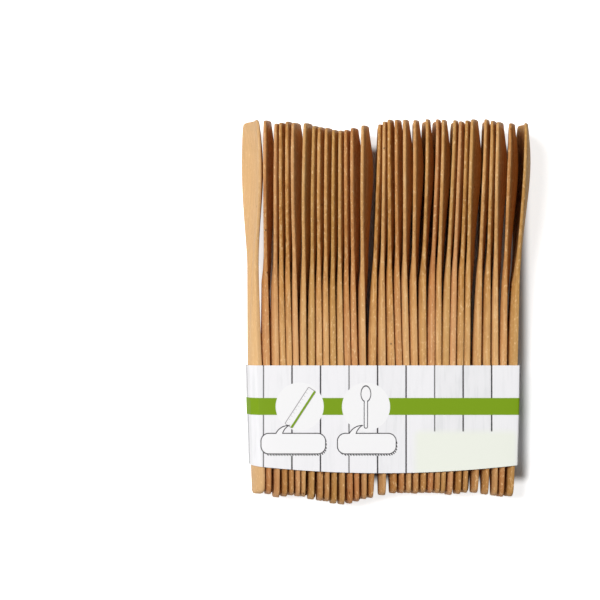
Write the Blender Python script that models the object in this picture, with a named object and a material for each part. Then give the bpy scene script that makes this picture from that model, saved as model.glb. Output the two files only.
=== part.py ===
"""A pack of thirty-three moulded ice cream spoons, nested on edge in one row and held by a paper band.

The pack lies on its back as it would come to rest. The spoons run along Y with their bowls towards +Y,
the row runs along X, and the spoons' widths stand along Z. Every spoon turns its dished face to -X.
All lengths are metres.
"""

import math

import bmesh
import bpy
import numpy as np
from mathutils import Matrix, Vector
from mathutils.bvhtree import BVHTree

# The spoon's outline, with distances counted from the bowl's tip
SPOON_LENGTH = 0.0950
BOWL_WIDTH = 0.0209
BOWL_WIDEST_AT = 0.0129
TIP_WIDTH = 0.0172
TIP_CORNER_RADIUS = 0.0020
NECK_WIDTH = 0.0087
NECK_STARTS_AT = 0.0410
NECK_NARROWEST_AT = 0.0566
HANDLE_END_WIDTH = 0.0110
HANDLE_CORNER_RADIUS = 0.0028

# The spoon's pressed form: a dish in the bowl, a groove in the neck and an arch along the handle
BOWL_DEPTH = 0.0022
BOWL_DEEPEST_AT = 0.0105
TIP_DEPTH_SHARE = 0.45
ARCH_HEIGHT = 0.0014
ARCH_STARTS_AT = 0.0280
ARCH_FULL_AT = 0.0500
GROOVE_DEPTH = 0.0012
GROOVE_DEEPEST_AT = 0.0420
GROOVE_LENGTH = 0.0420
GROOVE_SHARE = 0.5
BOW = 0.0005
TIP_WALL = 0.0008
TIP_THINS_OVER = 0.0040
BOWL_WALL = 0.00095
HANDLE_WALL = 0.00135
WALL_GROWS_AT = 0.0300
WALL_FULL_AT = 0.0500
FOOT_WALL = 0.0007
FOOT_THINS_OVER = 0.0070

# The sections along the spoon and across it
SHOULDER_SECTIONS = 5
ACROSS = (-1.0, -0.5, 0.0, 0.5, 1.0)
CORNER_SHARE = 1.0 - math.sqrt(0.5)

# The row, from the first spoon at -X to the last at +X: each spoon's slide along its length in
# millimetres, its lean in the row and its twist about its own length in degrees, and the room in
# millimetres that it leaves to the spoon before it beyond the nest gap
SEATS = (
    (0.7, -1.42, 15.0, 0.0),
    (0.6, -0.79, 0.0, 0.0),
    (-0.2, -0.46, 0.5, 0.0),
    (0.0, -0.89, 0.5, 0.0),
    (0.3, -0.91, 0.0, 0.0),
    (0.0, -0.85, -3.0, 0.0),
    (-0.1, 0.16, -3.0, 0.0),
    (-0.8, 0.12, -1.0, 0.01),
    (-1.1, -0.39, -1.0, 0.11),
    (-1.3, -0.29, -1.0, 0.0),
    (-1.8, -0.37, 0.0, 0.0),
    (-2.0, -0.61, 0.0, 0.21),
    (-1.8, -0.98, 0.0, 0.13),
    (-1.3, -0.92, -2.0, 0.02),
    (-0.7, -0.44, -2.0, 0.38),
    (-0.4, 1.02, 1.0, 0.0),
    (0.3, -0.22, 1.0, 0.0),
    (0.8, -1.11, 0.0, 0.07),
    (0.8, -1.13, -1.0, 0.25),
    (0.8, -0.96, 0.0, 0.0),
    (0.7, -0.48, 0.5, 0.26),
    (0.9, 0.19, 2.7, 0.11),
    (0.9, 0.69, 2.4, 0.29),
    (0.8, 0.56, 1.0, 0.0),
    (0.7, 1.5, 1.0, 0.0),
    (0.4, 1.29, 0.0, 0.08),
    (0.6, 0.95, -0.5, 0.3),
    (0.9, 0.9, -3.5, 0.0),
    (0.9, 1.22, 0.0, 0.5),
    (0.5, 0.63, -1.0, 0.38),
    (0.2, 0.22, -3.5, 0.15),
    (-0.1, 1.1, -2.0, 0.0),
    (0.0, 1.84, 4.0, 0.0),
)
NEST_GAP = 0.0003
SAMPLES_PER_EDGE = 4
MILLIMETRE = 0.001

# The paper band, set by how much of the handles shows below it on a spoon that has no slide
FOOT_SHOWING = 0.00815
BAND_SIDE_HEIGHT = 0.0253
BAND_TOP_AT = SPOON_LENGTH - FOOT_SHOWING - BAND_SIDE_HEIGHT
BAND_DROP = 0.0020
BAND_PAPER = 0.00025
BAND_GAP = 0.0003
BAND_OVERLAP = 0.0120
BAND_OVERLAP_STEP = 0.0002
BAND_OVERLAP_RAMP = 0.0015
SIDE_COLUMNS = 14
SIDE_TURN = 1.0
FRONT_COLUMNS = 10
BACK_SHARE = 0.2

# Colours and finish
SPOON_COLOUR = (0.66, 0.36, 0.14, 1.0)
SPOON_ROUGHNESS = 0.50
PAPER_COLOUR = (0.88, 0.88, 0.89, 1.0)
PAPER_ROUGHNESS = 0.55

# A spoon turns and leans about the middle of the band, which holds it there
GRIP_AT = BAND_TOP_AT + BAND_SIDE_HEIGHT / 2
FAR_APART = 0.5
SHARP_ANGLE = math.radians(40.0)
REST_STEPS = 6


def clear_scene():
    for item in list(bpy.data.objects):
        bpy.data.objects.remove(item)


def ease(value, start, end):
    """0 up to start, 1 past end, and a smooth cosine step between them."""
    share = min(max((value - start) / (end - start), 0.0), 1.0)
    return 0.5 - 0.5 * math.cos(math.pi * share)


def half_width(along):
    """Half the spoon's width at a distance from the tip, before its corners are rounded."""
    if along < BOWL_WIDEST_AT:
        share = 1.0 - along / BOWL_WIDEST_AT
        return (BOWL_WIDTH - (BOWL_WIDTH - TIP_WIDTH) * share**2) / 2
    narrowing = (BOWL_WIDTH - NECK_WIDTH) * ease(along, BOWL_WIDEST_AT, NECK_STARTS_AT)
    widening = (HANDLE_END_WIDTH - NECK_WIDTH) * ease(along, NECK_NARROWEST_AT, SPOON_LENGTH)
    return (BOWL_WIDTH - narrowing + widening) / 2


def corner_loss(along):
    """How much a rounded corner takes off the half width at a distance from the tip."""
    from_end = SPOON_LENGTH - along
    if along < TIP_CORNER_RADIUS:
        radius, depth = TIP_CORNER_RADIUS, TIP_CORNER_RADIUS - along
    elif from_end < HANDLE_CORNER_RADIUS:
        radius, depth = HANDLE_CORNER_RADIUS, HANDLE_CORNER_RADIUS - from_end
    else:
        return 0.0
    return radius - math.sqrt(max(radius**2 - depth**2, 0.0))


def face_rise(along, across):
    """How far the dished face stands out of the plane of its rims, at a share across of its half width."""
    deepening = TIP_DEPTH_SHARE + (1.0 - TIP_DEPTH_SHARE) * ease(along, 0.0, BOWL_DEEPEST_AT)
    dish = deepening * (1.0 - ease(along, BOWL_DEEPEST_AT, NECK_STARTS_AT))
    arch = ease(along, ARCH_STARTS_AT, ARCH_FULL_AT)
    groove = 1.0 - ease(abs(along - GROOVE_DEEPEST_AT), 0.0, GROOVE_LENGTH / 2)
    middle = max(1.0 - abs(across) / GROOVE_SHARE, 0.0)
    bow = 4.0 * along * (SPOON_LENGTH - along) / SPOON_LENGTH**2
    return (
        ARCH_HEIGHT * arch * (1.0 - abs(across) ** 3)
        - BOWL_DEPTH * dish * (1.0 - across**2)
        - GROOVE_DEPTH * groove * middle**2
        + BOW * bow
    )


def wall(along):
    """The spoon's thickness along X: even over the bowl, thickest in the handle and thin at both ends."""
    at_tip = (BOWL_WALL - TIP_WALL) * (1.0 - ease(along, 0.0, TIP_THINS_OVER))
    growing = (HANDLE_WALL - BOWL_WALL) * ease(along, WALL_GROWS_AT, WALL_FULL_AT)
    at_foot = (HANDLE_WALL - FOOT_WALL) * ease(along, SPOON_LENGTH - FOOT_THINS_OVER, SPOON_LENGTH)
    return BOWL_WALL - at_tip + growing - at_foot


def stations():
    """Distances from the tip of the sections that make the spoon."""
    shoulder = NECK_STARTS_AT - BOWL_WIDEST_AT
    tip = [0.0, CORNER_SHARE * TIP_CORNER_RADIUS, TIP_CORNER_RADIUS]
    bowl = [(TIP_CORNER_RADIUS + BOWL_WIDEST_AT) / 2, BOWL_WIDEST_AT]
    neck = [BOWL_WIDEST_AT + shoulder * step / SHOULDER_SECTIONS for step in range(1, SHOULDER_SECTIONS + 1)]
    handle_end = SPOON_LENGTH - HANDLE_CORNER_RADIUS
    handle = [NECK_NARROWEST_AT, (NECK_NARROWEST_AT + handle_end) / 2, handle_end]
    foot = [SPOON_LENGTH - CORNER_SHARE * HANDLE_CORNER_RADIUS, SPOON_LENGTH]
    return tip + bowl + neck + handle + foot


def finish_mesh(mesh, material):
    mesh.materials.append(material)
    mesh.shade_smooth()
    mesh.set_sharp_from_angle(angle=SHARP_ANGLE)
    return mesh


def build_spoon_mesh(material):
    """One spoon, its dished face towards -X, its length along Y and its origin where the band grips it."""
    bm = bmesh.new()
    rows = []
    for along in stations():
        width = half_width(along) - corner_loss(along)
        points = [(-face_rise(along, share), GRIP_AT - along, share * width) for share in ACROSS]
        rows.append([bm.verts.new(point) for point in points])
    for upper, lower in zip(rows, rows[1:]):
        for column in range(len(ACROSS) - 1):
            bm.faces.new((upper[column], upper[column + 1], lower[column + 1], lower[column]))
    pressed = bmesh.ops.extrude_face_region(bm, geom=bm.faces[:])
    for item in pressed["geom"]:
        if isinstance(item, bmesh.types.BMVert):
            item.co.x += wall(GRIP_AT - item.co.y)
    bmesh.ops.recalc_face_normals(bm, faces=bm.faces[:])
    mesh = bpy.data.meshes.new("spoon")
    bm.to_mesh(mesh)
    bm.free()
    return finish_mesh(mesh, material)


def edge_samples(mesh):
    """Points all along the mesh's edges, to feel where two spoons would touch."""
    corners = np.array([vertex.co for vertex in mesh.vertices])
    ends = np.array([edge.vertices for edge in mesh.edges])
    start, end = corners[ends[:, 0]], corners[ends[:, 1]]
    shares = np.linspace(0.0, 1.0, SAMPLES_PER_EDGE + 1)
    return np.concatenate([start + (end - start) * share for share in shares])


def place(points, matrix):
    turned = np.array(matrix.to_3x3())
    return points @ turned.T + np.array(matrix.translation)


def seat_matrix(seat, x):
    slide, lean, twist, _ = seat
    return (
        Matrix.Translation((x, slide * MILLIMETRE, 0.0))
        @ Matrix.Rotation(math.radians(-lean), 4, "Z")
        @ Matrix.Rotation(math.radians(twist), 4, "Y")
    )


def nearest_x(left, right, mesh, samples):
    """The lowest x at which the right spoon clears the left one by the nest gap."""
    faces = [tuple(face.vertices) for face in mesh.polygons]
    corners = np.array([vertex.co for vertex in mesh.vertices])
    room = FAR_APART
    for still, felt, way in ((left, right, -1.0), (right, left, 1.0)):
        tree = BVHTree.FromPolygons(place(corners, still).tolist(), faces)
        for point in place(samples, felt):
            distance = tree.ray_cast(Vector(point), Vector((way, 0.0, 0.0)))[3]
            if distance is not None:
                room = min(room, distance)
    return right.translation.x - room + NEST_GAP


def nest_spoons(mesh):
    """Each spoon's matrix in the row, pushed along X against the one before it."""
    samples = edge_samples(mesh)
    matrices = [seat_matrix(SEATS[0], 0.0)]
    for seat in SEATS[1:]:
        left = matrices[-1]
        right = seat_matrix(seat, left.translation.x + SPOON_LENGTH)
        x = nearest_x(left, right, mesh, samples) + seat[3] * MILLIMETRE
        matrices.append(seat_matrix(seat, x))
    return matrices


def cut_row(mesh, matrices, y):
    """The x and z of every place where the plane at y cuts a spoon's edge, all rims set to the tallest."""
    corners = np.array([vertex.co for vertex in mesh.vertices])
    ends = np.array([edge.vertices for edge in mesh.edges])
    cuts = []
    for matrix in matrices:
        placed = place(corners, matrix)
        start, end = placed[ends[:, 0]], placed[ends[:, 1]]
        crossing = (start[:, 1] - y) * (end[:, 1] - y) < 0.0
        start, end = start[crossing], end[crossing]
        share = (y - start[:, 1]) / (end[:, 1] - start[:, 1])
        cuts.append((start + (end - start) * share[:, None])[:, [0, 2]])
    tallest = max(np.abs(cut[:, 1]).max() for cut in cuts)
    for cut in cuts:
        cut[:, 1] *= tallest / np.abs(cut[:, 1]).max()
    return np.concatenate(cuts)


def wrap_side(points, first_angle, last_angle):
    """Inner and outer paper points where the band is pulled round one side of a cut of the row."""
    columns = []
    for angle in np.radians(np.linspace(first_angle, last_angle, SIDE_COLUMNS)):
        way = np.array((math.cos(angle), math.sin(angle)))
        touch = points[(points @ way).argmax()]
        columns.append((touch + way * BAND_GAP, touch + way * (BAND_GAP + BAND_PAPER)))
    return columns


def span_flat(start, end, marks):
    """Paper points on the flat from one column to another: each mark is a share of the way and its layers."""
    columns = []
    for share, layers in marks:
        inner = start[0] + (end[0] - start[0]) * share
        outer = start[1] + (end[1] - start[1]) * share
        columns.append((inner, inner + (outer - inner) * layers))
    return columns


def paper_columns(points):
    """Inner and outer points of the band round a cut of the row: right side, front, left side and back."""
    right = wrap_side(points, -90.0 + SIDE_TURN, 90.0 - SIDE_TURN)
    left = wrap_side(points, 90.0 + SIDE_TURN, 270.0 - SIDE_TURN)
    front = span_flat(right[-1], left[0], [(step / FRONT_COLUMNS, 1) for step in range(1, FRONT_COLUMNS)])
    length = right[0][0][0] - left[-1][0][0]
    half_lap = BAND_OVERLAP / 2 / length
    step = BAND_OVERLAP_STEP / length
    ramp = BAND_OVERLAP_RAMP / length
    marks = [
        (BACK_SHARE, 1),
        (0.5 - half_lap - step, 1),
        (0.5 - half_lap, 2),
        (0.5 + half_lap, 2),
        (0.5 + half_lap + ramp, 1),
        (1.0 - BACK_SHARE, 1),
    ]
    return np.array(right + front + left + span_flat(left[-1], right[0], marks))


def build_band_mesh(mesh, matrices, material):
    """A loop of paper pulled round the handles, with a straight top, a dipping lower edge and a glued lap."""
    top_y = GRIP_AT - BAND_TOP_AT
    low_y = top_y - BAND_SIDE_HEIGHT
    top = paper_columns(cut_row(mesh, matrices, top_y))
    low = paper_columns(cut_row(mesh, matrices, low_y))
    middle = (low[:, 0, 0].max() + low[:, 0, 0].min()) / 2
    reach = (low[:, 0, 0].max() - low[:, 0, 0].min()) / 2
    bm = bmesh.new()
    rings = []
    for upper, lower in zip(top, low):
        dip = BAND_DROP * max(1.0 - ((lower[0, 0] - middle) / reach) ** 2, 0.0)
        stretch = 1.0 + dip / BAND_SIDE_HEIGHT
        ends = upper + (lower - upper) * stretch
        ring = [
            (upper[0, 0], top_y, upper[0, 1]),
            (upper[1, 0], top_y, upper[1, 1]),
            (ends[1, 0], low_y - dip, ends[1, 1]),
            (ends[0, 0], low_y - dip, ends[0, 1]),
        ]
        rings.append([bm.verts.new(point) for point in ring])
    for ring, following in zip(rings, rings[1:] + rings[:1]):
        for side in range(4):
            after = (side + 1) % 4
            bm.faces.new((ring[side], ring[after], following[after], following[side]))
    bmesh.ops.recalc_face_normals(bm, faces=bm.faces[:])
    band = bpy.data.meshes.new("paper_band")
    bm.to_mesh(band)
    bm.free()
    return finish_mesh(band, material)


def make_material(name, colour, roughness):
    material = bpy.data.materials.new(name)
    material.use_nodes = True
    shader = material.node_tree.nodes["Principled BSDF"]
    shader.inputs["Base Color"].default_value = colour
    shader.inputs["Roughness"].default_value = roughness
    shader.inputs["Metallic"].default_value = 0.0
    return material


def rest_matrix(points):
    """Tilts the pack until its bowls and band both meet the ground, and sets its middle over the origin."""
    tilt = 0.0
    bowls = points[:, 1] > 0.0
    for _ in range(REST_STEPS):
        heights = points[:, 2] * math.cos(tilt) + points[:, 1] * math.sin(tilt)
        bowl = points[bowls][heights[bowls].argmin()]
        band = points[~bowls][heights[~bowls].argmin()]
        tilt = math.atan2(band[2] - bowl[2], bowl[1] - band[1])
    turn = Matrix.Rotation(tilt, 4, "X")
    placed = place(points, turn)
    low, high = placed.min(axis=0), placed.max(axis=0)
    return Matrix.Translation((-(low[0] + high[0]) / 2, -(low[1] + high[1]) / 2, -low[2])) @ turn


def add_object(name, mesh, matrix, parent):
    item = bpy.data.objects.new(name, mesh)
    bpy.context.collection.objects.link(item)
    item.parent = parent
    item.matrix_local = matrix
    return item


def main():
    clear_scene()
    spoon = build_spoon_mesh(make_material("moulded_fibre", SPOON_COLOUR, SPOON_ROUGHNESS))
    seats = nest_spoons(spoon)
    band = build_band_mesh(spoon, seats, make_material("band_paper", PAPER_COLOUR, PAPER_ROUGHNESS))
    corners = np.array([vertex.co for vertex in spoon.vertices])
    edges = np.array([vertex.co for vertex in band.vertices])
    pack = bpy.data.objects.new("pack", None)
    bpy.context.collection.objects.link(pack)
    pack.matrix_world = rest_matrix(np.concatenate([place(corners, seat) for seat in seats] + [edges]))
    for number, seat in enumerate(seats, start=1):
        add_object(f"spoon_{number:02d}", spoon, seat, pack)
    add_object("paper_band", band, Matrix.Identity(4), pack)


if __name__ == "__main__":
    main()
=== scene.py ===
"""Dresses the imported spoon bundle: moulded fibre spoons, a printed paper band, and a white studio.

The spoons run along Y with their bowls towards +Y, the row runs along X and the pack lies on z = 0.
"""

import math

import bmesh
import bpy
import numpy as np
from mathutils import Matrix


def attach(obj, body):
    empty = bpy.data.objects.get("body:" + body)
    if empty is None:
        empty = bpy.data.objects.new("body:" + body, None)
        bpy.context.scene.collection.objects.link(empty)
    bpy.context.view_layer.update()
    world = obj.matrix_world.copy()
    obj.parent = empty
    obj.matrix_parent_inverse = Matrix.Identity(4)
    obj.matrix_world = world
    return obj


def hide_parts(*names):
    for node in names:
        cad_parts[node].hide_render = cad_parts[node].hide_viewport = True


bl_info = {
    "name": "Pack of ice cream spoons",
    "version": (1, 0, 0),
    "blender": (4, 5, 0),
    "location": "3D View > Sidebar > Spoon pack",
    "description": "Finishes the moulded spoons, prints the paper band and sets up the studio",
    "category": "Object",
}

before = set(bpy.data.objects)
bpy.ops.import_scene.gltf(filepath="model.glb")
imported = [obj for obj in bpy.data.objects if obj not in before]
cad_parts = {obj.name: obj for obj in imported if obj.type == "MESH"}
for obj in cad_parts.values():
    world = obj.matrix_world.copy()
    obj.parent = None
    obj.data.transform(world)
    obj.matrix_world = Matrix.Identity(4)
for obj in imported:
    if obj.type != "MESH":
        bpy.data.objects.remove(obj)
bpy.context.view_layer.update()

SPOON_NODES = sorted(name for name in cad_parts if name.startswith("spoon_"))
BAND_NODE = "paper_band"

MM_PER_METRE = 1000.0
MERGE_DISTANCE = 1e-6
QUAD_FACE_ANGLE = math.radians(60.0)
QUAD_SHAPE_ANGLE = math.radians(120.0)
EDGE_ANGLE = math.radians(40.0)
WHITE = (1.0, 1.0, 1.0)

# What sets one spoon apart from the next: where its grain starts, how light it is and how red.
SHADE_NAMES = ("batch", "tone_and_light", "warmth")
SHADE_SEED = 7
BATCH_OFFSET = (37.0, 91.0, 53.0)
# Painted light: the outer spoon at the lamp's side gets a tone past all the others. Its fibre turns paler
# and less cloudy, standing in for lamp light and sheen on its face.
OUTER_SPOON_PAINTED_LIGHT = 2.0
OUTER_SPOON_WARMTH = 0.5

# Noises of the fibre: factors per millimetre, detail and roughness.
FIBRE_CLOUDS = (0.55, 0.22, 0.55), 3.0, 0.6
FIBRE_STREAKS = (4.0, 0.45, 4.0), 2.0, 0.55
FIBRE_BANDS = (1.7, 0.07, 1.7), 2.0, 0.5
FIBRE_FLECKS = (2.6, 0.95, 2.6), 2.0, 0.5
FIBRE_FINE = (11.0, 5.0, 11.0), 2.0, 0.6

# Shares of a second colour in the fibre: two limits, then the share at each of them.
# A higher tone thins the dark clouds. For the outer spoon this is part of its painted light.
TONE_AND_LIGHT_AGAINST_CLOUDS = -0.22
DARK_CLOUDS = 0.38, 0.78, 0.0, 0.62
DARK_STREAKS = 0.50, 0.74, 0.0, 0.55
DARK_BANDS = 0.52, 0.72, 0.0, 0.60
PALE_BANDS = 0.46, 0.28, 0.0, 0.55
# Painted light: the outer spoon's paler fibre.
PAINTED_LIGHT_OUTER_SPOON = 0.0, OUTER_SPOON_PAINTED_LIGHT, 0.0, 0.60
WARM_SPOONS = 0.55, 1.0, 0.0, 0.38
OLIVE_SPOONS = 0.40, 0.0, 0.0, 0.38
PALE_FLECKS = 0.57, 0.70, 0.0, 0.75
# The same for the handles and the feet, whose limits are settings. The darker feet below the band are
# partly painted shade from the band and partly browner fibre.
PALE_HANDLES = 0.22, 0.0
SHADE_AND_BROWN_FEET = 0.60, 0.0

SPECK_FACTORS = (0.42, 0.30, 0.42)
SPECK_RADII = 0.06, 0.12
SPECK_RARITY = 0.82
SPECK_SHARE = 0.85

FIBRE_SPECULAR = 0.12
ROUGH_LIMITS = 0.3, 0.7
ROUGH_SPREAD = -0.06, 0.10
STREAK_HEIGHT = 0.6
FINE_HEIGHT = 0.4
FIBRE_BUMP = 0.00010, 0.35

# Noises of the paper: factors per millimetre, detail and roughness.
PAPER_STREAKS = (0.9, 0.10, 1.0), 4.0, 0.6
PAPER_CLOUDS = (0.18, 0.09, 1.0), 2.0, 0.5
PAPER_FIBRES = (3.0, 3.0, 1.0), 3.0, 0.6

# Ramps of the planks: two limits, then the outcome at each of them.
PLANK_GREY = 0.25, 0.85, 0.0, 0.6
STREAK_GREY = 0.44, 0.66, 0.0, 0.9
STREAKS_BY_PLANK = 0.0, 1.0, 0.4, 1.0
CLOUD_GREY = 0.35, 0.65, 0.45, 1.0
LINE_HALF_WIDTH = 0.0, 1.0, 0.16, 0.19
LINE_STRENGTH = 0.0, 1.0, 0.86, 1.0
FAINT_LINE_EVERY = 3.0

# Prints in millimetres: places along the band and below its top edge, half sizes and corner radii.
SOFT_EDGE = 0.07
FIELD = (20.3, 22.7), (12.9, 6.0), 1.5
FIELD_FADE = 1.3
FIELD_LINE_FADE = 0.2
WHITENING = 1.03
WHITEST = 0.985
# The discs are placed below the middle of the stripe.
DISC_PLACES = ((-21.88, 0.03), (-5.06, 0.08))

RULER_PLACE = (-21.7, 10.7)
RULER_TURN = math.radians(57.0)
RULER_FORM = (5.5, 1.1), 0.25
RULER_LINE = 0.22
RULER_INK = (0.42, 0.40, 0.41)
TICKED_FORM = (5.0, 1.0), 0.1
TICK_HALF_PITCH = 0.5
TICK_HALF_WIDTH = 0.06
TICKS_UP_TO = -0.45
TICK_SHARE = 0.6
RULER_EDGE_MIDDLE = 0.85
RULER_EDGE_HALF = 0.28

DRAWN_BOWL = (-5.1, 7.2), (1.25, 2.0)
DRAWN_STEM = (-5.1, 12.2), (0.43, 3.7), 0.4
DRAWN_SPOON_LINE = 0.21

PLATES = (((-23.5, 19.8), (8.2, 2.6)), ((-4.87, 19.8), (7.45, 2.6)))
PLATE_CORNER = 2.0
PLATE_LINE = 0.25
PLATE_EDGE_STEP = (0.30, 0.45)
TAIL_OUTER = (-1.06, -0.81), 3.80
TAIL_INNER = (0.71, -1.57), 3.55
TAIL_ENDS_ABOVE = 1.5
HATCH_ALONG = 0.8
HATCH_DOWN = -0.6
HATCH_HALF_PITCH = 0.28
HATCH_HALF_WIDTH = 0.16

PAPER_ROUGHNESS = 0.6
PAPER_SPECULAR = 0.15
PAPER_BUMP = 0.00003, 0.2

FLOOR_DROP = 0.00005
FLOOR_ROUGHNESS = 0.9
FLOOR_SPECULAR = 0.0
PHOTO_PIXELS = 600
SENSOR_WIDTH = 36.0
CLIP_START = 0.01


class SpoonSettings(bpy.types.PropertyGroup):
    """Sizes and colours of the moulded spoons."""

    edge_radius: bpy.props.FloatProperty(
        name="Edge radius",
        description="How far the rims are rounded",
        default=0.00022,
        unit="LENGTH",
        precision=5,
    )
    swelling: bpy.props.FloatProperty(
        name="Swelling",
        description="How far the fibre stands out past its drawn faces",
        default=0.00007,
        unit="LENGTH",
        precision=5,
    )
    unevenness: bpy.props.FloatProperty(
        name="Unevenness",
        description="How far the moulding strays from its drawn form",
        default=0.00006,
        unit="LENGTH",
        precision=5,
    )
    smoothing: bpy.props.IntProperty(
        name="Smoothing",
        description="Subdivision levels of each spoon",
        default=2,
    )
    fibre_colour: bpy.props.FloatVectorProperty(
        name="Fibre",
        description="Middle colour of the moulded fibre",
        subtype="COLOR",
        default=(0.645, 0.314, 0.090),
    )
    dark_colour: bpy.props.FloatVectorProperty(
        name="Dark fibre",
        description="Colour of the darker clouds and streaks",
        subtype="COLOR",
        default=(0.330, 0.105, 0.010),
    )
    pale_colour: bpy.props.FloatVectorProperty(
        name="Pale fibre",
        description="Colour of the pale flecks",
        subtype="COLOR",
        default=(0.880, 0.580, 0.290),
    )
    warm_colour: bpy.props.FloatVectorProperty(
        name="Warm fibre",
        description="Colour that some of the spoons lean to",
        subtype="COLOR",
        default=(0.640, 0.260, 0.120),
    )
    olive_colour: bpy.props.FloatVectorProperty(
        name="Olive fibre",
        description="Colour that others of the spoons lean to",
        subtype="COLOR",
        default=(0.520, 0.310, 0.085),
    )
    speck_colour: bpy.props.FloatVectorProperty(
        name="Specks",
        description="Colour of the rare dark specks",
        subtype="COLOR",
        default=(0.110, 0.032, 0.008),
    )
    handle_from: bpy.props.FloatVectorProperty(
        name="Handle from",
        description="Places along the pack between which the fibre turns as pale as at the handles",
        size=2,
        unit="LENGTH",
        default=(-0.006, 0.008),
    )
    # Painted shade, partly browner fibre: the feet below the band turn darker.
    foot_shade_from: bpy.props.FloatVectorProperty(
        name="Foot from",
        description="Places along the pack between which the fibre turns as brown as at the feet",
        size=2,
        unit="LENGTH",
        default=(-0.0405, -0.0385),
    )
    roughness: bpy.props.FloatProperty(
        name="Roughness",
        description="Roughness of the satin surface",
        subtype="FACTOR",
        default=0.46,
        min=0.0,
        max=1.0,
    )


class BandSettings(bpy.types.PropertyGroup):
    """Sizes in millimetres and colours of the printed paper band."""

    smoothing: bpy.props.IntProperty(
        name="Smoothing",
        description="Subdivision levels of the paper",
        default=2,
    )
    paper_colour: bpy.props.FloatVectorProperty(
        name="Paper",
        description="Colour of the printed white planks",
        subtype="COLOR",
        default=(0.960, 0.950, 0.970),
    )
    shade_colour: bpy.props.FloatVectorProperty(
        name="Plank shade",
        description="Colour of the greyer planks",
        subtype="COLOR",
        default=(0.850, 0.850, 0.865),
    )
    line_colour: bpy.props.FloatVectorProperty(
        name="Joint lines",
        description="Colour of the lines between planks",
        subtype="COLOR",
        default=(0.055, 0.050, 0.056),
    )
    stripe_colour: bpy.props.FloatVectorProperty(
        name="Stripe",
        description="Colour of the stripe",
        subtype="COLOR",
        default=(0.215, 0.370, 0.006),
    )
    field_colour: bpy.props.FloatVectorProperty(
        name="Pale field",
        description="Colour of the bare field at the lower right",
        subtype="COLOR",
        default=(0.930, 0.955, 0.860),
    )
    plank_pitch: bpy.props.FloatProperty(
        name="Plank width",
        description="Width of one printed plank in millimetres",
        default=7.233,
    )
    plank_start: bpy.props.FloatProperty(
        name="Plank start",
        description="Place of one plank joint from the middle of the front in millimetres",
        default=-2.14,
    )
    stripe_top: bpy.props.FloatProperty(
        name="Stripe top",
        description="Top of the stripe below the band's top edge in millimetres",
        default=8.24,
    )
    stripe_height: bpy.props.FloatProperty(
        name="Stripe height",
        description="Height of the stripe in millimetres",
        default=4.31,
    )
    disc_radius: bpy.props.FloatProperty(
        name="Disc radius",
        description="Radius of the two white discs in millimetres",
        default=6.1,
    )


class StageSettings(bpy.types.PropertyGroup):
    """The floor, the light and the camera."""

    floor_size: bpy.props.FloatProperty(
        name="Floor", description="Side of the square floor", default=4.0, unit="LENGTH"
    )
    floor_colour: bpy.props.FloatVectorProperty(
        name="Floor colour",
        description="Colour of the white floor",
        subtype="COLOR",
        default=(0.92, 0.92, 0.92),
    )
    floor_glow: bpy.props.FloatProperty(
        name="Floor glow",
        description="Light that the floor adds round the pack for the camera",
        default=0.75,
    )
    glow_from: bpy.props.FloatVectorProperty(
        name="Glow from",
        description="Half size of the shaded rectangle under the pack, where the floor adds no light",
        size=2,
        unit="LENGTH",
        default=(0.0320, 0.0415),
    )
    glow_middle: bpy.props.FloatVectorProperty(
        name="Glow middle",
        description="Middle of that rectangle",
        size=3,
        subtype="TRANSLATION",
        default=(0.003, 0.0, 0.0),
    )
    glow_full_at: bpy.props.FloatProperty(
        name="Glow full at",
        description="Distance from that rectangle at which the glow is full",
        default=0.003,
        unit="LENGTH",
        precision=4,
    )
    world_light: bpy.props.FloatProperty(
        name="Surroundings",
        description="Light that the white surroundings throw on the pack",
        default=0.15,
    )
    lamp_place: bpy.props.FloatVectorProperty(
        name="Lamp place",
        description="Where the lamp hangs, pointing at the pack",
        subtype="TRANSLATION",
        default=(-0.70, 0.30, 1.60),
    )
    lamp_size: bpy.props.FloatProperty(
        name="Lamp size", description="Diameter of the round lamp", default=0.80, unit="LENGTH"
    )
    lamp_power: bpy.props.FloatProperty(
        name="Lamp power", description="Power of the lamp in watts", default=28.2, unit="POWER"
    )
    camera_place: bpy.props.FloatVectorProperty(
        name="Camera place",
        description="Where the camera hangs over the pack",
        subtype="TRANSLATION",
        default=(0.000322, -0.037499, 0.718067),
    )
    camera_tilt: bpy.props.FloatProperty(
        name="Camera tilt",
        description="How far the camera leans with the pack, so that it looks squarely at its front",
        subtype="ANGLE",
        default=math.radians(3.2657),
    )
    focal_length: bpy.props.FloatProperty(
        name="Focal length", description="Focal length in millimetres", default=166.86
    )
    axis_pixel: bpy.props.FloatProperty(
        name="Axis pixel",
        description="Pixel column of the picture that the camera's axis meets",
        default=386.0,
    )


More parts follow.
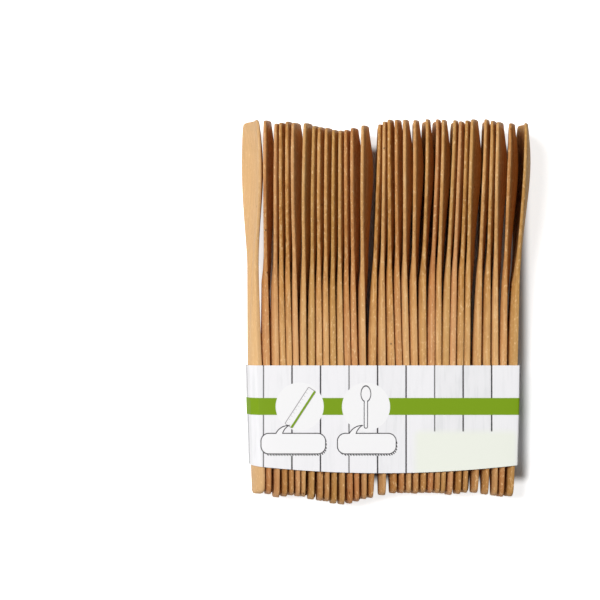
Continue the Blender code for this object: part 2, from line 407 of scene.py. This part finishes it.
class MaterialNodes:
    """Adds and links the nodes of one material. Most calls return the new node's output."""

    def __init__(self, name):
        self.material = bpy.data.materials.new(name)
        self.material.use_nodes = True
        self.tree = self.material.node_tree
        self.shader = self.tree.nodes["Principled BSDF"]

    def put(self, socket, value):
        if isinstance(value, bpy.types.NodeSocket):
            self.tree.links.new(value, socket)
        elif hasattr(value, "__len__") and len(value) == 3 and socket.type == "RGBA":
            socket.default_value = (*value, 1.0)
        else:
            socket.default_value = value

    def node(self, kind, settings=(), **inputs):
        node = self.tree.nodes.new(kind)
        for name, value in dict(settings).items():
            setattr(node, name, value)
        for name, value in inputs.items():
            self.put(node.inputs[name], value)
        return node

    def maths(self, operation, *values):
        node = self.node("ShaderNodeMath", {"operation": operation})
        for socket, value in zip(node.inputs, values):
            self.put(socket, value)
        return node.outputs[0]

    def vector(self, operation, *values):
        node = self.node("ShaderNodeVectorMath", {"operation": operation})
        for socket, value in zip(node.inputs, values):
            self.put(socket, value)
        return node.outputs["Value" if operation == "LENGTH" else "Vector"]

    def split(self, place):
        return self.node("ShaderNodeSeparateXYZ", Vector=place).outputs

    def attribute(self, name):
        return self.node("ShaderNodeAttribute", {"attribute_name": name}).outputs["Fac"]

    def noise(self, place, factors, detail, roughness):
        place = self.vector("MULTIPLY", place, factors)
        node = self.node("ShaderNodeTexNoise", Vector=place, Scale=1.0, Detail=detail, Roughness=roughness)
        return node.outputs["Fac"]

    def ramp(self, value, low, high, at_low=0.0, at_high=1.0):
        node = self.node("ShaderNodeMapRange", {"interpolation_type": "SMOOTHSTEP"})
        for name, setting in (
            ("Value", value),
            ("From Min", low),
            ("From Max", high),
            ("To Min", at_low),
            ("To Max", at_high),
        ):
            self.put(node.inputs[name], setting)
        return node.outputs["Result"]

    def mix(self, share, first, second):
        node = self.node("ShaderNodeMix", {"data_type": "RGBA"})
        self.put(node.inputs["Factor"], share)
        self.put(node.inputs[6], first)
        self.put(node.inputs[7], second)
        return node.outputs[2]

    def beyond_box(self, place, half_size):
        """How far a place lies outside a box round the origin."""
        beyond = self.vector("SUBTRACT", self.vector("ABSOLUTE", place), half_size)
        return self.vector("LENGTH", self.vector("MAXIMUM", beyond, (0.0, 0.0, 0.0)))

    def surface(self, colour, roughness, specular):
        self.put(self.shader.inputs["Base Color"], colour)
        self.put(self.shader.inputs["Roughness"], roughness)
        self.put(self.shader.inputs["Specular IOR Level"], specular)

    def bump(self, height, distance, strength):
        node = self.node("ShaderNodeBump", Height=height, Distance=distance, Strength=strength)
        self.put(self.shader.inputs["Normal"], node.outputs["Normal"])


class Print:
    """Shapes drawn on the band in millimetres, each given as its distance from a point of the paper."""

    def __init__(self, nodes, place):
        self.nodes = nodes
        self.place = place
        self.along, self.down, _ = nodes.split(place)

    def shifted(self, centre, turn=0.0):
        moved = self.nodes.vector("SUBTRACT", self.place, (*centre, 0.0))
        if turn:
            turning = {"rotation_type": "Z_AXIS"}
            node = self.nodes.node("ShaderNodeVectorRotate", turning, Vector=moved, Angle=turn)
            moved = node.outputs["Vector"]
        return moved

    def disc(self, centre, radius):
        return self.nodes.maths("SUBTRACT", self.nodes.vector("LENGTH", self.shifted(centre)), radius)

    def oval(self, centre, half_size):
        share = self.nodes.vector("DIVIDE", self.shifted(centre), (*half_size, 1.0))
        beyond = self.nodes.maths("SUBTRACT", self.nodes.vector("LENGTH", share), 1.0)
        return self.nodes.maths("MULTIPLY", beyond, min(half_size))

    def plate(self, centre, half_size, radius, turn=0.0):
        core = (half_size[0] - radius, half_size[1] - radius, 0.0)
        return self.nodes.maths("SUBTRACT", self.nodes.beyond_box(self.shifted(centre, turn), core), radius)

    def strip(self, across, middle, half_width):
        apart = self.nodes.maths("ABSOLUTE", self.nodes.maths("SUBTRACT", across, middle))
        return self.nodes.maths("SUBTRACT", apart, half_width)

    def repeated(self, across, half_pitch, half_width):
        return self.nodes.maths("SUBTRACT", self.nodes.maths("PINGPONG", across, half_pitch), half_width)

    def joined(self, first, second):
        return self.nodes.maths("MINIMUM", first, second)

    def filled(self, distance, soft=SOFT_EDGE):
        return self.nodes.ramp(distance, -soft, soft, 1.0, 0.0)

    def outlined(self, distance, width):
        edge = self.nodes.maths("SUBTRACT", self.nodes.maths("ABSOLUTE", distance), width / 2)
        return self.filled(edge)


def start_piece(name, node):
    """A new object at the origin with a merged quad copy of a CAD node's mesh.

    It is left in edit mode with everything selected.
    """
    bpy.ops.object.select_all(action="DESELECT")
    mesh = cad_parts[node].data.copy()
    mesh.name = name
    piece = bpy.data.objects.new(name, mesh)
    bpy.context.collection.objects.link(piece)
    piece.select_set(True)
    bpy.context.view_layer.objects.active = piece
    bpy.ops.mesh.customdata_custom_splitnormals_clear()
    bpy.ops.object.mode_set(mode="EDIT")
    bpy.ops.mesh.select_mode(type="VERT")
    bpy.ops.mesh.select_all(action="SELECT")
    bpy.ops.mesh.mark_sharp(clear=True)
    bpy.ops.mesh.remove_doubles(threshold=MERGE_DISTANCE)
    bpy.ops.mesh.tris_convert_to_quads(face_threshold=QUAD_FACE_ANGLE, shape_threshold=QUAD_SHAPE_ANGLE)
    bpy.ops.mesh.faces_shade_smooth()
    return piece


def apply_modifiers(piece):
    for modifier in list(piece.modifiers):
        bpy.ops.object.modifier_apply(modifier=modifier.name)


def settle(piece, node, material):
    piece.data.materials.clear()
    piece.data.materials.append(material)
    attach(piece, "root")
    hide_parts(node)


def fibre_material(settings):
    """Moulded plant fibre: soft clouds, streaks along the spoon, pale flecks and a few dark specks."""
    nodes = MaterialNodes("moulded_fibre")
    place = nodes.node("ShaderNodeTexCoord").outputs["Object"]
    batch, tone_and_light, warmth = (nodes.attribute(name) for name in SHADE_NAMES)
    offset = nodes.vector("MULTIPLY", batch, BATCH_OFFSET)
    grain = nodes.vector("ADD", nodes.vector("MULTIPLY", place, (MM_PER_METRE,) * 3), offset)
    clouds = nodes.noise(grain, *FIBRE_CLOUDS)
    streaks = nodes.noise(grain, *FIBRE_STREAKS)
    bands = nodes.noise(grain, *FIBRE_BANDS)
    flecks = nodes.noise(grain, *FIBRE_FLECKS)
    fine = nodes.noise(grain, *FIBRE_FINE)
    clouds_by_tone_and_light = nodes.maths("ADD", clouds, nodes.maths("MULTIPLY", tone_and_light, TONE_AND_LIGHT_AGAINST_CLOUDS))
    along = nodes.split(place)["Y"]

    colour = settings.fibre_colour
    for value, share, second in (
        (clouds_by_tone_and_light, DARK_CLOUDS, settings.dark_colour),
        (streaks, DARK_STREAKS, settings.dark_colour),
        (bands, DARK_BANDS, settings.dark_colour),
        (bands, PALE_BANDS, settings.pale_colour),
        (along, (*settings.handle_from, *PALE_HANDLES), settings.pale_colour),
        # painted shade below the band, partly browner fibre
        (along, (*settings.foot_shade_from, *SHADE_AND_BROWN_FEET), settings.dark_colour),
        # painted light: the outer spoon turns paler
        (tone_and_light, PAINTED_LIGHT_OUTER_SPOON, settings.pale_colour),
        (warmth, WARM_SPOONS, settings.warm_colour),
        (warmth, OLIVE_SPOONS, settings.olive_colour),
        (flecks, PALE_FLECKS, settings.pale_colour),
    ):
        colour = nodes.mix(nodes.ramp(value, *share), colour, second)

    speck_place = nodes.vector("MULTIPLY", grain, SPECK_FACTORS)
    cell = nodes.node("ShaderNodeTexVoronoi", {"feature": "F1"}, Vector=speck_place, Scale=1.0).outputs
    chance = nodes.node("ShaderNodeSeparateColor", Color=cell["Color"]).outputs[0]
    rare = nodes.maths("GREATER_THAN", chance, SPECK_RARITY)
    speck = nodes.maths("MULTIPLY", nodes.ramp(cell["Distance"], *SPECK_RADII, 1.0, 0.0), rare)
    colour = nodes.mix(nodes.maths("MULTIPLY", speck, SPECK_SHARE), colour, settings.speck_colour)

    roughness = nodes.ramp(fine, *ROUGH_LIMITS, *(settings.roughness + part for part in ROUGH_SPREAD))
    nodes.surface(colour, roughness, FIBRE_SPECULAR)
    raised_streaks = nodes.maths("MULTIPLY", streaks, STREAK_HEIGHT)
    height = nodes.maths("ADD", raised_streaks, nodes.maths("MULTIPLY", fine, FINE_HEIGHT))
    nodes.bump(height, *FIBRE_BUMP)
    return nodes.material


class PACK_OT_spoons(bpy.types.Operator):
    """Round and smooth the moulded spoons and give them their fibre"""

    bl_idname = "spoon_pack.spoons"
    bl_label = "Finish the spoons"

    def execute(self, context):
        settings = context.scene.spoon_pack_spoons
        material = fibre_material(settings)
        shades = np.random.default_rng(SHADE_SEED).random((len(SPOON_NODES), len(SHADE_NAMES)))
        # Painted light: the outer spoon gets a tone past the others, which makes its fibre paler.
        shades[0, 1:] = OUTER_SPOON_PAINTED_LIGHT, OUTER_SPOON_WARMTH
        for number, node in enumerate(SPOON_NODES):
            piece = start_piece(f"moulded_{node}", node)
            bpy.ops.transform.shrink_fatten(value=settings.swelling)
            bpy.ops.transform.vertex_random(offset=settings.unevenness, seed=number + 1)
            bpy.ops.object.mode_set(mode="OBJECT")
            rounding = piece.modifiers.new("rims", "BEVEL")
            rounding.width = settings.edge_radius
            rounding.segments = 1
            rounding.limit_method = "ANGLE"
            rounding.angle_limit = EDGE_ANGLE
            smoothing = piece.modifiers.new("moulding", "SUBSURF")
            smoothing.levels = smoothing.render_levels = settings.smoothing
            apply_modifiers(piece)
            bpy.ops.object.shade_smooth()
            for name, value in zip(SHADE_NAMES, shades[number]):
                attribute = piece.data.attributes.new(name, "FLOAT", "POINT")
                attribute.data.foreach_set("value", np.full(len(piece.data.vertices), value, np.float32))
            settle(piece, node, material)
        return {"FINISHED"}


def edge_boxes(points, top_edge):
    """The lowest and highest x and z of the band's upper edge and of its lower edge."""
    flat = points[:, [0, 2]]
    edges = (flat[top_edge], flat[~top_edge])
    return [np.array([edge.min(axis=0), edge.max(axis=0)]) for edge in edges]


def outer_ring(piece, top_edge):
    """The outer corners of the band's upper edge in order round it, starting at the back, as x and z."""
    bm = bmesh.from_edit_mesh(piece.data)
    bm.normal_update()
    points = np.array([vertex.co for vertex in bm.verts])[top_edge][:, [0, 2]]
    normals = np.array([vertex.normal for vertex in bm.verts])[top_edge][:, [0, 2]]
    low, high = points.min(axis=0), points.max(axis=0)
    square = (points * 2.0 - low - high) / (high - low)
    outer = (square * normals).sum(axis=1) > 0.0
    turn = np.arctan2(square[outer, 0], square[outer, 1])
    return points[outer][np.argsort(turn)]


def along_ring(ring, flat, middle):
    """Lengths along a ring to its places nearest some points, zero where the front passes the middle."""
    legs = np.roll(ring, -1, axis=0) - ring
    spans = np.linalg.norm(legs, axis=1)
    starts = np.concatenate([[0.0], np.cumsum(spans)[:-1]])
    front = np.abs(ring[:, 0] - middle) + (ring[:, 1] < ring[:, 1].mean())
    starts += ring[front.argmin(), 0] - middle - starts[front.argmin()]
    share = ((flat[:, None] - ring[None]) * legs[None]).sum(axis=2) / spans**2
    share = share.clip(0.0, 1.0)
    apart = np.linalg.norm(ring[None] + share[:, :, None] * legs[None] - flat[:, None], axis=2)
    leg = apart.argmin(axis=1)
    return starts[leg] + share[np.arange(len(flat)), leg] * spans[leg]


def unroll(piece, ring, boxes, top_line, middle):
    """Lays a UV map in metres round the smoothed band.

    Its first value runs along the band from the front's middle, the second down from the upper edge.
    """
    mesh = piece.data
    points = np.empty(len(mesh.vertices) * 3)
    mesh.vertices.foreach_get("co", points)
    points = points.reshape(-1, 3)
    slope, start = top_line
    drops = (start + slope * points[:, 2] - points[:, 1]) / math.hypot(1.0, slope)
    share = (drops / drops.max()).clip(0.0, 1.0)[:, None, None]
    box = boxes[0][None] * (1.0 - share) + boxes[1][None] * share
    scale = (boxes[0][1] - boxes[0][0]) / (box[:, 1] - box[:, 0])
    flat = boxes[0][0] + (points[:, [0, 2]] - box[:, 0]) * scale
    centre = (boxes[0][0] + boxes[0][1])[0] / 2
    around = along_ring(ring, flat, centre) / scale[:, 0] + (box[:, 0, 0] + box[:, 1, 0]) / 2 - middle
    corners = np.empty(len(mesh.loops), dtype=int)
    mesh.loops.foreach_get("vertex_index", corners)
    spans = around[corners]
    loop = np.linalg.norm(np.roll(ring, -1, axis=0) - ring, axis=1).sum()
    for face in mesh.polygons:
        own = spans[face.loop_start : face.loop_start + face.loop_total]
        if own.max() - own.min() > loop / 2:
            own[own < 0.0] += loop
    layer = mesh.uv_layers.new(name="unrolled")
    layer.data.foreach_set("uv", np.stack([spans, drops[corners]], axis=1).ravel())


def plank_layers(nodes, ink, settings):
    """The colour of the white planks and the strength of the lines at their joints."""
    pitch = settings.plank_pitch
    from_joint = nodes.maths("SUBTRACT", ink.along, settings.plank_start)
    count = nodes.maths("DIVIDE", from_joint, pitch)
    plank = nodes.maths("FLOOR", count)
    shade = nodes.node("ShaderNodeTexWhiteNoise", {"noise_dimensions": "1D"}, W=plank).outputs["Value"]
    streaks = nodes.ramp(nodes.noise(ink.place, *PAPER_STREAKS), *STREAK_GREY)
    clouds = nodes.ramp(nodes.noise(ink.place, *PAPER_CLOUDS), *CLOUD_GREY)
    streaked = nodes.maths("MULTIPLY", streaks, nodes.ramp(shade, *STREAKS_BY_PLANK))
    grey = nodes.maths("ADD", nodes.ramp(shade, *PLANK_GREY), streaked)
    grey = nodes.maths("MULTIPLY", grey, clouds)
    paper = nodes.mix(grey, settings.paper_colour, settings.shade_colour)

    joint = nodes.maths("ADD", nodes.maths("ROUND", count), 1.0)
    strong = nodes.maths("GREATER_THAN", nodes.maths("FLOORED_MODULO", joint, FAINT_LINE_EVERY), 0.5)
    from_line = ink.repeated(from_joint, pitch / 2, nodes.ramp(strong, *LINE_HALF_WIDTH))
    line = nodes.maths("MULTIPLY", ink.filled(from_line), nodes.ramp(strong, *LINE_STRENGTH))
    return paper, line


def draw_ruler(nodes, ink, colour, settings):
    """A slanted ruler with ticks along one side and a coloured edge along the other."""
    ruler = ink.plate(RULER_PLACE, *RULER_FORM, RULER_TURN)
    colour = nodes.mix(ink.outlined(ruler, RULER_LINE), colour, RULER_INK)
    along_ruler, across_ruler, _ = nodes.split(ink.shifted(RULER_PLACE, RULER_TURN))
    tick = ink.filled(ink.repeated(along_ruler, TICK_HALF_PITCH, TICK_HALF_WIDTH))
    ticked = ink.filled(ink.plate(RULER_PLACE, *TICKED_FORM, RULER_TURN))
    low_side = nodes.maths("LESS_THAN", across_ruler, TICKS_UP_TO)
    ticks = nodes.maths("MULTIPLY", nodes.maths("MULTIPLY", tick, ticked), low_side)
    colour = nodes.mix(nodes.maths("MULTIPLY", ticks, TICK_SHARE), colour, RULER_INK)
    edge = ink.filled(ink.strip(across_ruler, RULER_EDGE_MIDDLE, RULER_EDGE_HALF))
    return nodes.mix(nodes.maths("MULTIPLY", edge, ink.filled(ruler)), colour, settings.stripe_colour)


def draw_plates(nodes, ink, colour, white, settings):
    """Two bare plates, each with a curved tail at its top and a hatched edge below and at the right."""
    slant_along = nodes.maths("MULTIPLY", ink.along, HATCH_ALONG)
    slanted = nodes.maths("ADD", slant_along, nodes.maths("MULTIPLY", ink.down, HATCH_DOWN))
    hatching = ink.filled(ink.repeated(slanted, HATCH_HALF_PITCH, HATCH_HALF_WIDTH))
    hatch = nodes.mix(hatching, white, settings.line_colour)
    for centre, half_size in PLATES:
        edge_place, outer_place, inner_place = (
            (centre[0] + step[0], centre[1] + step[1])
            for step in (PLATE_EDGE_STEP, TAIL_OUTER[0], TAIL_INNER[0])
        )
        edge = ink.plate(edge_place, half_size, PLATE_CORNER)
        outside_inner = nodes.maths("MULTIPLY", ink.disc(inner_place, TAIL_INNER[1]), -1.0)
        tail = nodes.maths("MAXIMUM", ink.disc(outer_place, TAIL_OUTER[1]), outside_inner)
        below_tail = nodes.maths("SUBTRACT", ink.down, centre[1] - TAIL_ENDS_ABOVE)
        tail = nodes.maths("MAXIMUM", tail, below_tail)
        face = ink.joined(ink.plate(centre, half_size, PLATE_CORNER), tail)
        colour = nodes.mix(ink.filled(edge), colour, hatch)
        colour = nodes.mix(ink.filled(face), colour, white)
        colour = nodes.mix(ink.outlined(face, PLATE_LINE), colour, settings.line_colour)
    return colour


def paper_material(settings):
    """Printed paper: white planks with joint lines, one stripe, two discs, two plates and a pale field."""
    nodes = MaterialNodes("printed_paper")
    uv = nodes.node("ShaderNodeUVMap", {"uv_map": "unrolled"}).outputs["UV"]
    ink = Print(nodes, nodes.vector("MULTIPLY", uv, (MM_PER_METRE, MM_PER_METRE, 0.0)))
    colour, line = plank_layers(nodes, ink, settings)
    field = ink.plate(*FIELD)
    off_field = nodes.maths("SUBTRACT", 1.0, ink.filled(field, FIELD_LINE_FADE))
    colour = nodes.mix(ink.filled(field, FIELD_FADE), colour, settings.field_colour)
    colour = nodes.mix(nodes.maths("MULTIPLY", line, off_field), colour, settings.line_colour)
    stripe_middle = settings.stripe_top + settings.stripe_height / 2
    stripe = ink.strip(ink.down, stripe_middle, settings.stripe_height / 2)
    colour = nodes.mix(ink.filled(stripe), colour, settings.stripe_colour)
    white = tuple(min(part * WHITENING, WHITEST) for part in settings.paper_colour)
    for along, below in DISC_PLACES:
        disc = ink.disc((along, stripe_middle + below), settings.disc_radius)
        colour = nodes.mix(ink.filled(disc), colour, white)
    colour = draw_ruler(nodes, ink, colour, settings)
    spoon = ink.joined(ink.oval(*DRAWN_BOWL), ink.plate(*DRAWN_STEM))
    colour = nodes.mix(ink.outlined(spoon, DRAWN_SPOON_LINE), colour, settings.line_colour)
    colour = draw_plates(nodes, ink, colour, white, settings)
    nodes.surface(colour, PAPER_ROUGHNESS, PAPER_SPECULAR)
    nodes.bump(nodes.noise(ink.place, *PAPER_FIBRES), *PAPER_BUMP)
    return nodes.material


class PACK_OT_band(bpy.types.Operator):
    """Smooth the paper band, unroll it and print it"""

    bl_idname = "spoon_pack.band"
    bl_label = "Print the band"

    def execute(self, context):
        settings = context.scene.spoon_pack_band
        piece = start_piece("printed_band", BAND_NODE)
        points = np.array([vertex.co for vertex in bmesh.from_edit_mesh(piece.data).verts])
        top_edge = points[:, 1] > (points[:, 1].max() + points[:, 1].min()) / 2
        top_line = np.polyfit(points[top_edge, 2], points[top_edge, 1], 1)
        ring = outer_ring(piece, top_edge)
        bpy.ops.mesh.select_mode(type="EDGE")
        bpy.ops.mesh.select_all(action="DESELECT")
        bpy.ops.mesh.edges_select_sharp(sharpness=EDGE_ANGLE)
        bpy.ops.transform.edge_crease(value=1.0)
        bpy.ops.object.mode_set(mode="OBJECT")
        smoothing = piece.modifiers.new("paper", "SUBSURF")
        smoothing.levels = smoothing.render_levels = settings.smoothing
        apply_modifiers(piece)
        middle = context.scene.spoon_pack_stage.camera_place[0]
        unroll(piece, ring, edge_boxes(points, top_edge), top_line, middle)
        bpy.ops.object.shade_smooth_by_angle(angle=EDGE_ANGLE)
        settle(piece, BAND_NODE, paper_material(settings))
        return {"FINISHED"}


def floor_material(settings):
    """White floor that adds light for the camera, except in a rectangle under the pack, which is left dark
    as painted shade.
    """
    nodes = MaterialNodes("white_floor")
    nodes.surface(settings.floor_colour, FLOOR_ROUGHNESS, FLOOR_SPECULAR)
    place = nodes.node("ShaderNodeTexCoord").outputs["Object"]
    from_middle = nodes.vector("SUBTRACT", place, tuple(settings.glow_middle))
    # Painted shade: no glow under the pack, so the floor seen between the spoons stays dark.
    outside = nodes.beyond_box(from_middle, (*settings.glow_from, 0.0))
    glow = nodes.ramp(outside, 0.0, settings.glow_full_at, 0.0, settings.floor_glow)
    seen = nodes.node("ShaderNodeLightPath").outputs["Is Camera Ray"]
    nodes.put(nodes.shader.inputs["Emission Color"], WHITE)
    nodes.put(nodes.shader.inputs["Emission Strength"], nodes.maths("MULTIPLY", seen, glow))
    return nodes.material


def add_world(settings):
    """White surroundings, bright for the camera and a weak light for all else."""
    world = bpy.data.worlds.new("studio")
    bpy.context.scene.world = world
    world.use_nodes = True
    tree = world.node_tree
    background = tree.nodes["Background"]
    background.inputs["Color"].default_value = (*WHITE, 1.0)
    path = tree.nodes.new("ShaderNodeLightPath")
    level = tree.nodes.new("ShaderNodeMapRange")
    tree.links.new(path.outputs["Is Camera Ray"], level.inputs["Value"])
    level.inputs["To Min"].default_value = settings.world_light
    level.inputs["To Max"].default_value = 1.0
    tree.links.new(level.outputs["Result"], background.inputs["Strength"])


def add_lamp(settings):
    """One round lamp that points at the pack."""
    lamp = bpy.data.lights.new("key", "AREA")
    lamp.shape = "DISK"
    lamp.size = settings.lamp_size
    lamp.energy = settings.lamp_power
    item = bpy.data.objects.new("key", lamp)
    bpy.context.collection.objects.link(item)
    item.location = settings.lamp_place
    item.rotation_euler = (-item.location).to_track_quat("-Z", "Y").to_euler()


def add_camera(settings):
    """The camera, shifted sideways so that its axis meets the given column of the picture."""
    camera = bpy.data.cameras.new("camera")
    camera.sensor_width = SENSOR_WIDTH
    camera.lens = settings.focal_length
    camera.shift_x = (PHOTO_PIXELS / 2 - settings.axis_pixel) / PHOTO_PIXELS
    camera.clip_start = CLIP_START
    item = bpy.data.objects.new("camera", camera)
    bpy.context.collection.objects.link(item)
    item.location = settings.camera_place
    item.rotation_euler = (settings.camera_tilt, 0.0, 0.0)
    bpy.context.scene.camera = item


class PACK_OT_stage(bpy.types.Operator):
    """Lay the floor, light it and set the camera over the pack"""

    bl_idname = "spoon_pack.stage"
    bl_label = "Set the stage"

    def execute(self, context):
        settings = context.scene.spoon_pack_stage
        bpy.ops.object.select_all(action="DESELECT")
        bpy.ops.mesh.primitive_plane_add(size=settings.floor_size, location=(0.0, 0.0, -FLOOR_DROP))
        floor = context.object
        floor.name = "floor"
        bpy.ops.object.transform_apply(location=True, rotation=False, scale=False)
        floor.data.materials.append(floor_material(settings))
        add_world(settings)
        add_lamp(settings)
        add_camera(settings)
        context.scene.view_settings.view_transform = "Standard"
        return {"FINISHED"}


class PACK_PT_panel(bpy.types.Panel):
    """The pack's settings and its building steps"""

    bl_idname = "PACK_PT_panel"
    bl_label = "Spoon pack"
    bl_space_type = "VIEW_3D"
    bl_region_type = "UI"
    bl_category = "Spoon pack"

    def draw(self, context):
        scene = context.scene
        for settings, operator in (
            (scene.spoon_pack_spoons, PACK_OT_spoons),
            (scene.spoon_pack_band, PACK_OT_band),
            (scene.spoon_pack_stage, PACK_OT_stage),
        ):
            box = self.layout.box()
            for name in settings.__annotations__:
                box.prop(settings, name)
            box.operator(operator.bl_idname)


CLASSES = (
    SpoonSettings,
    BandSettings,
    StageSettings,
    PACK_OT_spoons,
    PACK_OT_band,
    PACK_OT_stage,
    PACK_PT_panel,
)
SETTINGS = {
    "spoon_pack_spoons": SpoonSettings,
    "spoon_pack_band": BandSettings,
    "spoon_pack_stage": StageSettings,
}


def register():
    for item in CLASSES:
        bpy.utils.register_class(item)
    for name, kind in SETTINGS.items():
        setattr(bpy.types.Scene, name, bpy.props.PointerProperty(type=kind))


def unregister():
    for name in SETTINGS:
        delattr(bpy.types.Scene, name)
    for item in reversed(CLASSES):
        bpy.utils.unregister_class(item)


def main():
    register()
    bpy.ops.spoon_pack.stage()
    bpy.ops.spoon_pack.spoons()
    bpy.ops.spoon_pack.band()


if __name__ == "__main__":
    main()
